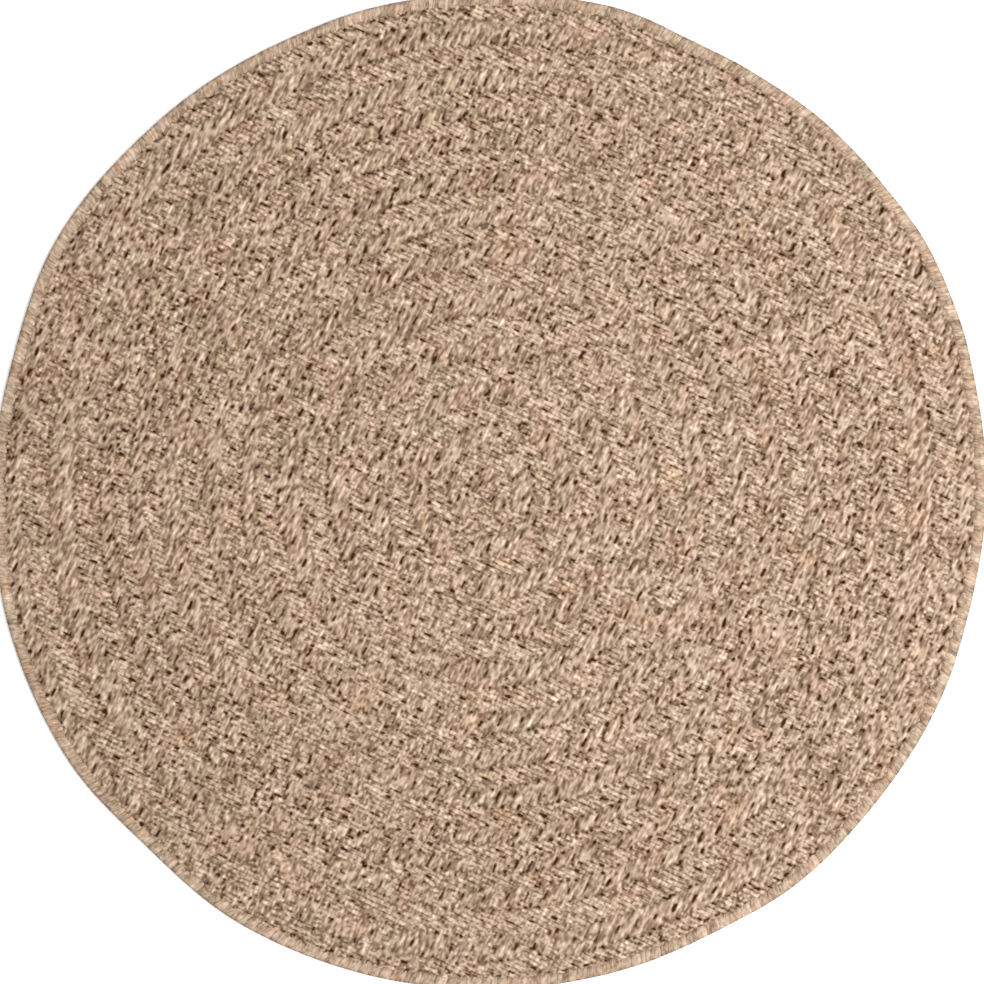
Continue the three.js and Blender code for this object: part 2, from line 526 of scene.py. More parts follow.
def woven_surface(sizes):
    """The finer grid's places, heights and looks, as a dictionary of grids."""
    weave = Weave(sizes)
    rng = np.random.default_rng(sizes.seed + 2)
    column, row, x, y = weave.crossings()
    up = lengthwise_on_top(weave)
    tone_up, float_up = float_tones(column, row, 1)
    tone_cross, _ = float_tones(row, column, 1)
    _, float_cross = float_tones(row, column, 2)
    long_tone, _ = float_tones(column, row, 2)
    # Neighbouring lengthwise floats lie higher and lower by turns, and a few long ones shine with a painted
    # highlight
    cell_place = braid_place(x, y, sizes)
    first = np.floor(2 * repeatable_noise(cell_place["half"], cell_place["strand"] + 700, row // 2))
    by_turns = (column + first) % 2 - 0.5
    shining = np.maximum(long_tone - SHINING_FROM, 0)
    part = TONE_PARTS
    tone_up = part["own"] * tone_up + part["long"] * long_tone + part["shining"] * shining
    tone_up = tone_up + part["by_turns"] * by_turns

    goes_on_up = goes_on(up, 1, float_up)
    goes_on_cross = goes_on(~up, 0, float_cross)
    end_up = rng.uniform(*END_DIPS, x.shape) * ~goes_on_up
    end_cross = rng.uniform(*END_DIPS, x.shape) * ~goes_on_cross

    def relief(a, b):
        over = arch_at(a) - END_DIP_SHARE * end_at(b, end_up, 1)
        cross = arch_at(b) - END_DIP_SHARE * end_at(a, end_cross, 0)
        return np.where(up, over, cross)

    arched = spread_to_points(x.shape, relief)
    lengthwise = spread_to_points(x.shape, lambda a, b: up.astype(float))
    tones = spread_to_points(x.shape, lambda a, b: np.where(up, tone_up, tone_cross))

    fine_column, fine_row = weave.points()
    fine_x, fine_y = weave.place_of(fine_column, fine_row)
    place = braid_place(fine_x, fine_y, sizes)
    sway_x, sway_y = sway(fine_x, fine_y)
    hollows = hollows_between(weave)
    groove = braid_grooves(place)
    bulge = 1 - (2 * place["across"] - 1) ** 2
    jitter = rng.normal(0, 1, hollows.shape)
    inset = outline_radius(place["angle"]) - np.hypot(fine_x, fine_y)
    needle_line = np.exp(-(((inset - NEEDLE_INSET) / NEEDLE_LINE_WIDTH) ** 2))
    height = CLOTH_HIGH.z - groove + BULGE_HEIGHT * bulge + ARCH_HEIGHT * (arched - 0.5)
    height += TONE_HEIGHT * tones - HOLLOW_DEPTH * hollows
    height += JITTER_HEIGHT * jitter - NEEDLE_LINE_DEPTH * needle_line
    # Lightness: painted highlight makes crests lighter, and painted shade makes grooves and hollows darker,
    # most of all the hollows
    strand_tone = strand_number(place, 500) - 0.5
    part = LIGHT_PARTS
    light = part["strand"] * strand_tone + part["bulge"] * (bulge - 0.6) + part["tone"] * tones
    light += (part["arch"] + part["crosswise_arch"] * (1 - lengthwise)) * (arched - 0.5)
    light += part["hollow"] * hollows + part["groove"] * groove / ROUND_GROOVE
    hue = strand_number(place, 90) - 0.5
    inside = cell_place["radius"] < MEAN_RADIUS - 0.8 * EDGE_WIDTH
    points = np.stack([fine_x + sway_x, fine_y + sway_y, height], axis=2)
    normals = np.cross(np.gradient(points, axis=0), np.gradient(points, axis=1))
    normals /= np.linalg.norm(normals, axis=2, keepdims=True)
    return {
        "points": points,
        "normals": normals,
        "column": fine_column,
        "row": fine_row,
        "lengthwise": lengthwise,
        "light": light,
        "hue": hue,
        "inside": np.kron(inside, np.ones((FINE_STEPS, FINE_STEPS), bool)),
    }


class Field:
    """A number in a node tree that can be written in a formula like a plain number."""

    def __init__(self, tree, socket):
        self.tree = tree
        self.socket = socket

    def math(self, operation, other=None, flipped=False):
        node = self.tree.nodes.new("ShaderNodeMath")
        node.operation = operation
        values = (other, self) if flipped else (self, other)
        for place, value in enumerate(values):
            if isinstance(value, Field):
                self.tree.links.new(value.socket, node.inputs[place])
            elif value is not None:
                node.inputs[place].default_value = value
        return Field(self.tree, node.outputs[0])

    def __add__(self, other):
        return self.math("ADD", other)

    def __sub__(self, other):
        return self.math("SUBTRACT", other)

    def __rsub__(self, other):
        return self.math("SUBTRACT", other, flipped=True)

    def __mul__(self, other):
        return self.math("MULTIPLY", other)

    def __truediv__(self, other):
        return self.math("DIVIDE", other)


def add(tree, kind, inputs=None, **settings):
    """Adds a node, sets its properties, and fills or links its inputs by name."""
    node = tree.nodes.new(kind)
    for name, value in settings.items():
        setattr(node, name, value)
    for name, value in (inputs or {}).items():
        socket = node.inputs[name]
        if isinstance(value, Field):
            tree.links.new(value.socket, socket)
        elif isinstance(value, bpy.types.NodeSocket):
            tree.links.new(value, socket)
        else:
            socket.default_value = value
    return node


def new_tree(name, kind, sockets, outputs):
    """A node group with named inputs and outputs, and its nodes for them.

    Each input is given its kind of socket or, if it is a number, its default.
    """
    tree = bpy.data.node_groups.new(name, kind)
    for label, wanted in sockets.items():
        is_number = isinstance(wanted, float)
        socket_type = "NodeSocketFloat" if is_number else "NodeSocket" + wanted
        socket = tree.interface.new_socket(name=label, in_out="INPUT", socket_type=socket_type)
        if is_number:
            socket.default_value = wanted
    for label, wanted in outputs.items():
        tree.interface.new_socket(name=label, in_out="OUTPUT", socket_type="NodeSocket" + wanted)
    return tree, tree.nodes.new("NodeGroupInput"), tree.nodes.new("NodeGroupOutput")


def split(tree, vector):
    """The three numbers of a vector."""
    node = add(tree, "ShaderNodeSeparateXYZ", {"Vector": vector})
    return [Field(tree, node.outputs[k]) for k in range(3)]


def join(tree, x, y, z):
    """A vector of three numbers."""
    return add(tree, "ShaderNodeCombineXYZ", {"X": x, "Y": y, "Z": z}).outputs[0]


def named(tree, label):
    """A number that the points of a mesh carry under a name."""
    node = add(tree, "GeometryNodeInputNamedAttribute", {"Name": label}, data_type="FLOAT")
    return Field(tree, node.outputs["Attribute"])


def stored(tree, geometry, label, value, kind="FLOAT"):
    """Gives the points of a mesh a number or vector under a name."""
    inputs = {"Geometry": geometry, "Name": label, "Value": value}
    return add(tree, "GeometryNodeStoreNamedAttribute", inputs, data_type=kind, domain="POINT").outputs[0]


def closing_nodes(tree, geometry, given, result):
    """The nodes that every geometry tree ends in."""
    real = add(tree, "GeometryNodeRealizeInstances", {"Geometry": geometry})
    inputs = {"Geometry": real.outputs[0], "Material": given.outputs["Material"]}
    finished = add(tree, "GeometryNodeSetMaterial", inputs)
    tree.links.new(finished.outputs[0], result.inputs["Geometry"])


def give_points(mesh, label, values):
    """Gives the points of a mesh a number each under a name, or a vector each."""
    kind, part = ("FLOAT", "value") if np.ndim(values) == 1 else ("FLOAT_VECTOR", "vector")
    layer = mesh.attributes.new(label, kind, "POINT")
    layer.data.foreach_set(part, np.asarray(values, np.float32).ravel())


def closed_line(name, places, **attributes):
    """A mesh of one closed line, with an attribute of its points for each named list of numbers."""
    count = len(places)
    mesh = bpy.data.meshes.new(name)
    mesh.from_pydata(np.asarray(places).tolist(), [(k, (k + 1) % count) for k in range(count)], [])
    for label, values in attributes.items():
        give_points(mesh, label, values)
    return mesh


def placed(name, data):
    """A new object in the scene."""
    item = bpy.data.objects.new(name, data)
    bpy.context.scene.collection.objects.link(item)
    return item


def grow(name, mesh, tree, material, **inputs):
    """Runs a node tree on a mesh and keeps the result as a plain mesh object."""
    start = placed(name + "_start", mesh)
    modifier = start.modifiers.new("grow", "NODES")
    modifier.node_group = tree
    identifiers = {
        item.name: item.identifier
        for item in tree.interface.items_tree
        if item.item_type == "SOCKET" and item.in_out == "INPUT"
    }
    for label, value in inputs.items():
        modifier[identifiers[label.replace("_", " ")]] = value
    modifier[identifiers["Material"]] = material
    depsgraph = bpy.context.evaluated_depsgraph_get()
    evaluated = start.evaluated_get(depsgraph)
    grown = bpy.data.meshes.new_from_object(evaluated, preserve_all_data_layers=True, depsgraph=depsgraph)
    grown.name = name
    while grown.materials and grown.materials[0] is None:
        grown.materials.pop(index=0)
    if not grown.polygons:
        raise RuntimeError(f"{name} came out of its node tree without faces")
    piece = placed(name, grown)
    bpy.data.objects.remove(start)
    return piece


def fibre_group():
    """Heathered yarn: fine streaks along the yarn and softer patches of tone, as values from 0 to 1."""
    name = "heathered_fibres"
    if name in bpy.data.node_groups:
        return bpy.data.node_groups[name]
    tree, given, result = new_tree(
        name,
        "ShaderNodeTree",
        {
            "Vector": "Vector",
            "Direction": 0.0,
            "Streak Width": 3.4 * MM,
            "Streak Length": 7 * MM,
            "Patch Size": 5.5 * MM,
            "Broad Size": 45 * MM,
        },
        {"Streaks": "Float", "Patches": "Float", "Broad": "Float", "Hue": "Float"},
    )
    direction = Field(tree, given.outputs["Direction"])
    x, y, z = split(tree, given.outputs["Vector"])
    along = x * direction.math("COSINE") + y * direction.math("SINE")
    across = y * direction.math("COSINE") - x * direction.math("SINE")
    width = Field(tree, given.outputs["Streak Width"])
    length = Field(tree, given.outputs["Streak Length"])
    patch = Field(tree, given.outputs["Patch Size"])
    streak_place = join(tree, along / length, across / width, z / width)
    patch_place = join(tree, x / patch, y / patch, 0.0)
    wide = Field(tree, given.outputs["Broad Size"])
    broad_place = join(tree, x / wide, y / wide, 3.0)
    hue_place = join(tree, x / wide, y / wide, 7.0)
    noises = {
        "Streaks": (streak_place, 0.3),
        "Patches": (patch_place, 0.5),
        "Broad": (broad_place, 1.0),
        "Hue": (hue_place, 4.0),
    }
    for label, (where, detail) in noises.items():
        noise = add(tree, "ShaderNodeTexNoise", {"Vector": where, "Scale": 1.0, "Detail": detail})
        tree.links.new(noise.outputs[0], result.inputs[label])
    return tree


def mixed(tree, share, low, high, blend="MIX"):
    """A colour between two others."""
    node = add(tree, "ShaderNodeMix", data_type="RGBA", blend_type=blend)
    for place, value in ((0, share), (6, low), (7, high)):
        if isinstance(value, (Field, bpy.types.NodeSocket)):
            socket = value.socket if isinstance(value, Field) else value
            tree.links.new(socket, node.inputs[place])
        else:
            node.inputs[place].default_value = value if place == 0 else (*value, 1.0)
    return node.outputs[2]


def ranged(tree, value, low, high, to_low=0.0, to_high=1.0):
    """A value moved from one range to another, and kept inside it."""
    node = add(
        tree,
        "ShaderNodeMapRange",
        {"From Min": low, "From Max": high, "To Min": to_low, "To Max": to_high},
    )
    tree.links.new(value.socket if isinstance(value, Field) else value, node.inputs["Value"])
    return Field(tree, node.outputs[0])


def heather_ramp(tree, light, colours):
    """The yarn's colour for a lightness from 0, painted shade deep in the weave, to 1, a painted highlight
    on a crest.
    """
    node = add(tree, "ShaderNodeValToRGB", {"Fac": light})
    names = ("recess_shade", "dark", "light", "crest")
    stops = node.color_ramp.elements
    while len(stops) < len(names):
        stops.new(0.5)
    for place, name in enumerate(names):
        stops[place].position = place / (len(names) - 1)
        stops[place].color = (*colours[name], 1.0)
    return node.outputs["Color"]


def rug_colours():
    """The yarn colours that are set in the scene, by name."""
    colours = bpy.context.scene.rug_colours
    names = ("crest", "light", "dark", "warm", "cool", "recess_shade")
    return {name: tuple(getattr(colours, name)) for name in names}


def length_setting(name, description, millimetres):
    """A setting for a length, which is kept in metres."""
    default = millimetres * MM
    return bpy.props.FloatProperty(name=name, description=description, default=default, unit="LENGTH")


def angle_setting(name, description, degrees):
    """A setting for an angle, which is kept in radians."""
    default = math.radians(degrees)
    return bpy.props.FloatProperty(name=name, description=description, default=default, subtype="ANGLE")


def share_setting(name, description, default, most=1.0):
    """A setting for a share, from none to the most that makes sense."""
    return bpy.props.FloatProperty(name=name, description=description, default=default, min=0, max=most)


def colour_setting(name, description, *screen):
    """A setting for a colour, given as screen values."""
    default = linear(*screen)
    return bpy.props.FloatVectorProperty(
        name=name, description=description, default=default, subtype="COLOR"
    )


class RugSizes(bpy.types.PropertyGroup):
    """Sizes of the weave, the braid and the edge."""

    seed: bpy.props.IntProperty(name="Seed", description="Draws the unevenness of the weave", default=7)
    lengthwise_angle: angle_setting(
        "Lengthwise Direction", "Direction of the finer yarns over the whole rug", 64.4
    )
    lengthwise_pitch: length_setting("Lengthwise Pitch", "Distance between two finer yarns", 4.215)
    crosswise_pitch: length_setting("Crosswise Pitch", "Distance between two broader yarns", 5.99)
    stitch_pitch: length_setting("Stitch Pitch", "Distance between two overcast stitches", 6.2)
    stitch_slant: angle_setting(
        "Stitch Slant", "Angle between a stitch and the straight way in from the edge", 12
    )
    strand_width: length_setting("Strand Width", "Width of a strand of the woven braid", 15.5)
    strand_slant: angle_setting("Strand Slant", "Angle between a strand and its round", 37)
    leaning: share_setting(
        "Leaning", "How strongly a strand is woven with the yarns that run its own way", 0.34, 0.5
    )
    slit_depth: share_setting(
        "Slit Depth", "Depth of the slit between two strands, as a share of the deepest", 0.7
    )
    hollow_depth: share_setting(
        "Hollow Depth", "Depth of the round hollows along the half-rounds, as a share of the deepest", 0.52
    )
    hollow_pitch: length_setting(
        "Hollow Pitch", "Distance between two round hollows along a half-round", 9.5
    )


class RugColours(bpy.types.PropertyGroup):
    """Colours of the yarns."""

    # Painted highlight: the colour of the lightest crests, where the yarn would shine
    crest: colour_setting("Yarn Crest", "Fibres that shine on a yarn's crest", 244, 220, 199)
    light: colour_setting("Light Yarn", "Lightest fibres", 191, 168, 147)
    dark: colour_setting("Dark Yarn", "Darkest fibres", 128, 105, 85)
    warm: colour_setting("Warm Yarn", "Tint of the pinkish tan fibres", 255, 244, 235)
    cool: colour_setting("Cool Yarn", "Tint of the greenish straw fibres", 247, 252, 245)
    # Painted shade: the colour that the yarn is given deep in the weave, where it lies in shadow
    recess_shade: colour_setting("Recess", "Yarn deep in the weave", 50, 24, 3)


def weave_group():
    """The yarns of a weave: how round each lengthwise yarn and each ply of a crosswise one is, 0 to 1."""
    name = "woven_yarns"
    if name in bpy.data.node_groups:
        return bpy.data.node_groups[name]
    sockets = {"Weave Place": "Vector", "Lengthwise": 0.5}
    tree, given, result = new_tree(name, "ShaderNodeTree", sockets, {"Roundness": "Float"})
    column, row, _ = split(tree, given.outputs["Weave Place"])
    share = Field(tree, given.outputs["Lengthwise"])
    single = 0.5 - (column * TAU).math("COSINE") * 0.5
    plied = 0.5 - (row * (2 * TAU)).math("COSINE") * 0.5
    roundness = single * share + plied * (1 - share)
    tree.links.new(roundness.socket, result.inputs["Roundness"])
    return tree


def new_material(name):
    """A new material with its node tree and its shader."""
    material = bpy.data.materials.new(name)
    material.use_nodes = True
    tree = material.node_tree
    return material, tree, tree.nodes["Principled BSDF"]


def attribute(tree, label):
    """A number that the points of a piece carry under a name."""
    return Field(tree, add(tree, "ShaderNodeAttribute", attribute_name=label).outputs["Fac"])


def yarn_fibres(tree, place, **sizes):
    """The heathered fibres at a place, in the group's own sizes where no other is given."""
    node = add(tree, "ShaderNodeGroup", node_tree=fibre_group())
    tree.links.new(place, node.inputs["Vector"])
    for label, value in sizes.items():
        node.inputs[label.replace("_", " ")].default_value = value
    return {label: Field(tree, node.outputs[label]) for label in ("Streaks", "Patches", "Broad", "Hue")}


def yarn_rounding(tree, place, share):
    """How round the yarns of a weave are at a place in it, where a share of them runs lengthwise."""
    node = add(tree, "ShaderNodeGroup", node_tree=weave_group())
    tree.links.new(place, node.inputs["Weave Place"])
    tree.links.new(share.socket, node.inputs["Lengthwise"])
    return Field(tree, node.outputs["Roundness"])


def varied(light, *parts):
    """A lightness that values from 0 to 1 change around their middle, each as much as its weight."""
    for part, weight in parts:
        light = (part - 0.5) * weight + light
    return light


def yarn_colour(tree, light, drift, colours):
    """The yarn's colour for a lightness, drifting towards its warm and its cool fibres."""
    body = heather_ramp(tree, light, colours)
    body = mixed(tree, ranged(tree, drift, 0.5, 0.8), body, colours["warm"], "MULTIPLY")
    return mixed(tree, ranged(tree, drift, 0.5, 0.2), body, colours["cool"], "MULTIPLY")


def finish_shader(tree, shader, colour, height, bump, roughness, specular):
    """Sets the shader's colour, its matt finish, and a bump of a strength and a depth."""
    tree.links.new(colour, shader.inputs["Base Color"])
    shader.inputs["Roughness"].default_value = roughness
    shader.inputs["Specular IOR Level"].default_value = specular
    strength, depth = bump
    node = add(tree, "ShaderNodeBump", {"Height": height, "Strength": strength, "Distance": depth})
    tree.links.new(node.outputs[0], shader.inputs["Normal"])


def woven_material():
    """Heathered polypropylene yarns of both directions, with painted shade where the weave is deep."""
    sizes = bpy.context.scene.rug_sizes
    lengthwise = sizes.lengthwise_angle
    crosswise = lengthwise - math.pi / 2
    material, tree, shader = new_material("woven_yarns")
    place = add(tree, "ShaderNodeTexCoord").outputs["Object"]
    share = attribute(tree, "lengthwise")
    along = yarn_fibres(tree, place, Direction=lengthwise)
    across = yarn_fibres(tree, place, Direction=crosswise, Streak_Length=4 * MM)
    streaks = along["Streaks"] * share + across["Streaks"] * (1 - share)
    # Single fibres, which only show close up
    single = {"Streak_Width": 0.4 * MM, "Streak_Length": 9 * MM}
    along_threads = yarn_fibres(tree, place, Direction=lengthwise, **single)["Streaks"]
    across_threads = yarn_fibres(tree, place, Direction=crosswise, **single)["Streaks"]
    threads = along_threads * share + across_threads * (1 - share)
    weave_place = add(tree, "ShaderNodeAttribute", attribute_name="weave_place").outputs["Vector"]
    roundness = yarn_rounding(tree, weave_place, share)
    # The roundness paints a faint highlight along each yarn's middle and shade at its sides
    light = varied(
        attribute(tree, "light"),
        (streaks, 0.76),
        (along["Patches"], 0.18),
        (along["Broad"], 0.12),
        (threads, 0.25),
        (roundness, 0.02),
    )
    light = light + WOVEN_LIGHT
    drift = attribute(tree, "hue") * 0.2 + along["Hue"]
    colour = yarn_colour(tree, light, drift, rug_colours())
    relief = roundness * 0.5 + streaks * 0.4 + threads * 0.4
    finish_shader(tree, shader, colour, relief, (0.25, 0.4 * MM), roughness=0.7, specular=0.08)
    return material


def relief_tree():
    """Lifts a flat sheet into the woven relief, by what each of its points says."""
    tree, given, result = new_tree(
        "woven_relief",
        "GeometryNodeTree",
        {"Geometry": "Geometry", "Base Height": BAND_BOTTOM, "Relief": 1.0, "Material": "Material"},
        {"Geometry": "Geometry"},
    )
    x, y, _ = split(tree, add(tree, "GeometryNodeInputPosition").outputs[0])
    base = Field(tree, given.outputs["Base Height"])
    height = named(tree, "lift") * Field(tree, given.outputs["Relief"]) + base
    inputs = {"Geometry": given.outputs["Geometry"], "Position": join(tree, x, y, height)}
    lifted = add(tree, "GeometryNodeSetPosition", inputs)
    closing_nodes(tree, lifted.outputs[0], given, result)
    return tree


def woven_band(name, surface, first, last):
    """The flat sheet of the woven surface between two columns of points, and its normals once lifted.

    The sheet is closed: walls, and one face underneath, take it down to the ground.
    """
    inside = surface["inside"][first:last]
    ks, ls = np.nonzero(inside)
    ks = ks + first
    width = surface["column"].shape[1]
    corner = ks * width + ls
    quads = np.stack([corner, corner + width, corner + width + 1, corner + 1], axis=1)
    used, faces = np.unique(quads, return_inverse=True)
    faces = faces.reshape(quads.shape)
    top = surface["points"].reshape(-1, 3)[used]

    # The rim of the surface, in order around it
    starts, ends = faces.ravel(), np.roll(faces, -1, axis=1).ravel()
    count = len(used)
    edges = starts.astype(np.int64) * count + ends
    lone = ~np.isin(edges, ends.astype(np.int64) * count + starts)
    following = dict(zip(starts[lone].tolist(), ends[lone].tolist()))
    rim = [next(iter(following))]
    while following[rim[-1]] != rim[0]:
        rim.append(following[rim[-1]])
    if len(rim) != len(following):
        raise ValueError(f"{name} has {len(following)} rim edges, and {len(rim)} of them form one line")
    lift = np.concatenate([top[:, 2] - BAND_BOTTOM, np.zeros(len(rim))])
    low = count + np.arange(len(rim))
    walls = np.stack([np.roll(rim, -1), rim, low, np.roll(low, -1)], axis=1)
    mesh = bpy.data.meshes.new(name)
    vertices = np.concatenate([top, top[rim]])
    vertices[:, 2] = 0
    mesh.from_pydata(vertices.tolist(), [], faces.tolist() + walls.tolist() + [low[::-1].tolist()])
    # The rim's lower points carry the same looks as its upper ones
    source = np.concatenate([used, used[rim]])
    give_points(mesh, "lift", lift)
    for label in ("light", "hue", "lengthwise"):
        give_points(mesh, label, surface[label].ravel()[source])
    spots = [surface["column"].ravel()[source], surface["row"].ravel()[source], np.zeros(len(source))]
    give_points(mesh, "weave_place", np.stack(spots, axis=1))
    mesh.polygons.foreach_set("use_smooth", np.arange(len(mesh.polygons)) < len(faces))
    mesh.update()
    # Neighbouring bands share their normals, so that no seam shows; the walls keep their own
    normals = np.zeros((len(mesh.loops), 3))
    normals[:faces.size] = surface["normals"].reshape(-1, 3)[used][faces.ravel()]
    return mesh, normals.tolist()


class RUG_OT_woven_top(bpy.types.Operator):
    """Weave the cloth's upper side, as bands of neighbouring yarns"""

    bl_idname = "rug.woven_top"
    bl_label = "Woven Top"

    def execute(self, context):
        surface = woven_surface(context.scene.rug_sizes)
        material = woven_material()
        tree = relief_tree()
        in_column = surface["inside"].sum(axis=1)
        triangles = 2 * np.cumsum(in_column)
        bands = math.ceil(triangles[-1] / BAND_TRIANGLES)
        limits = np.searchsorted(triangles, np.linspace(0, triangles[-1], bands + 1)[1:-1])
        limits = [0, *limits.tolist(), len(in_column)]
        for number, (first, last) in enumerate(zip(limits[:-1], limits[1:])):
            name = f"woven_band_{number + 1}"
            sheet, normals = woven_band(name, surface, first, last)
            piece = grow(name, sheet, tree, material, Base_Height=BAND_BOTTOM)
            piece.data.normals_split_custom_set(normals)
            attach(piece, "root")
        return {"FINISHED"}


def underside_material():
    """The cloth's flat underside: yarns of both directions that cross over and under by turns."""
    sizes = bpy.context.scene.rug_sizes
    material, tree, shader = new_material("woven_underside")
    place = add(tree, "ShaderNodeTexCoord").outputs["Object"]
    x, y, _ = split(tree, place)
    angle = sizes.lengthwise_angle
    column = (x * math.sin(angle) - y * math.cos(angle)) / sizes.lengthwise_pitch
    row = (x * math.cos(angle) + y * math.sin(angle)) / sizes.crosswise_pitch
    share = (column.math("FLOOR") + row.math("FLOOR")).math("FLOORED_MODULO", 2.0)
    over_row = (row * math.pi).math("SINE").math("ABSOLUTE")
    over_column = (column * math.pi).math("SINE").math("ABSOLUTE")
    arch = over_row * share + over_column * (1 - share)
    height = yarn_rounding(tree, join(tree, column, row, 0.0), share) * (arch * 0.6 + 0.4)
    fibres = yarn_fibres(tree, place, Direction=angle)
    # The height over the yarns' arches also paints highlight on them and shade between them
    light = varied(UNDERSIDE_LIGHT, (fibres["Streaks"], 0.6), (fibres["Patches"], 0.3), (height, 0.25))
    colour = yarn_colour(tree, light, fibres["Hue"], rug_colours())
    finish_shader(tree, shader, colour, height, (0.8, 0.6 * MM), roughness=0.8, specular=0.08)
    return material


def turned_mesh(name, section, steps, pull):
    """A mesh turned around +Z from a line of (radius, height) points, its radii pulled to the outline."""
    angles = np.arange(steps) * TAU / steps
    vertices = []
    for angle in angles:
        for radius, height in section:
            out = pull(radius, angle)
            vertices.append((out * math.cos(angle), out * math.sin(angle), height))
    count = len(section)
    faces = []
    for step in range(steps):
        here = step * count
        there = (step + 1) % steps * count
        for k in range(count - 1):
            faces.append((here + k, there + k, there + k + 1, here + k + 1))
    mesh = bpy.data.meshes.new(name)
    mesh.from_pydata(vertices, [], faces)
    return mesh


def ground_shade_material():
    """The ground deep between the yarns on top: dark brown as painted shade, finely streaked."""
    sizes = bpy.context.scene.rug_sizes
    recess_shade = rug_colours()["recess_shade"]
    material, tree, shader = new_material("ground_weave")
    place = add(tree, "ShaderNodeTexCoord").outputs["Object"]
    fine = {"Streak_Width": 1.5 * MM, "Patch_Size": 3 * MM}
    fibres = yarn_fibres(tree, place, Direction=sizes.lengthwise_angle, **fine)
    streaks = ranged(tree, fibres["Streaks"], 0.35, 0.65)
    patches = ranged(tree, fibres["Patches"], 0.4, 0.65)
    # Painted shade: patches of the ground darker still, at half the recess colour
    deep = tuple(0.5 * channel for channel in recess_shade)
    colour = mixed(tree, patches, deep, recess_shade)
    finish_shader(tree, shader, colour, streaks, (0.8, 0.6 * MM), roughness=0.9, specular=0.5)
    return material


class RUG_OT_ground_cloth(bpy.types.Operator):
    """Lay the ground of the cloth, painted dark as shade where it shows between the yarns on top"""

    bl_idname = "rug.ground_cloth"
    bl_label = "Ground Cloth"

    def execute(self, context):
        borders, _ = half_rounds()
        seat = MEAN_RADIUS - EDGE_WIDTH
        rim = MEAN_RADIUS - 2.0 * MM
        low = GROUND_TOP - 0.2 * MM
        axis = 0.001 * MM
        section = [(axis, low)]
        for inner, outer in zip(borders[:-1], borders[1:]):
            if inner > 0:
                section.append((inner, low))
            section.append(((inner + outer) / 2, GROUND_TOP))
        # Around the rim, which lies inside the stitches, and back to the middle along the floor
        section += [(seat, low), (rim, low), (rim, 1.4 * MM), (seat, 1.3 * MM)]
        section += [(seat - 1 * MM, 0.0), (0.5 * MEAN_RADIUS, 0.0), (axis, 0.0)]
        mesh = turned_mesh("ground_cloth", section, GROUND_STEPS, cloth_pull)
        piece = placed("ground_cloth", mesh)
        close_up(mesh)
        mesh.materials.append(ground_shade_material())
        mesh.materials.append(underside_material())
        for polygon in mesh.polygons:
            polygon.use_smooth = True
            polygon.material_index = 0 if polygon.center.z > UNDERSIDE_TOP else 1
        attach(piece, "root")
        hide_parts("rug_cloth")
        return {"FINISHED"}


def close_up(mesh):
    """Merges points that lie on each other, as around the axis, and points the faces out."""
    model = bmesh.new()
    model.from_mesh(mesh)
    bmesh.ops.remove_doubles(model, verts=model.verts, dist=0.01 * MM)
    bmesh.ops.recalc_face_normals(model, faces=model.faces)
    model.to_mesh(mesh)
    model.free()


def edge_material():
    """Heathered yarn of the overcast stitches, with painted shade between two stitches, at their inner ends
    and down the outer side.
    """
    material, tree, shader = new_material("stitch_yarn")
    place = add(tree, "ShaderNodeAttribute", attribute_name="stitch_place").outputs["Vector"]
    fibres = yarn_fibres(tree, place, Streak_Width=2.4 * MM, Streak_Length=6 * MM)
    light = varied(attribute(tree, "light"), (fibres["Streaks"], 0.45), (fibres["Patches"], 0.35))
    drift = attribute(tree, "hue") * 0.1 + fibres["Hue"]
    colour = yarn_colour(tree, light, drift, rug_colours())
    finish_shader(tree, shader, colour, fibres["Streaks"], (0.25, 0.3 * MM), roughness=0.7, specular=0.15)
    return material


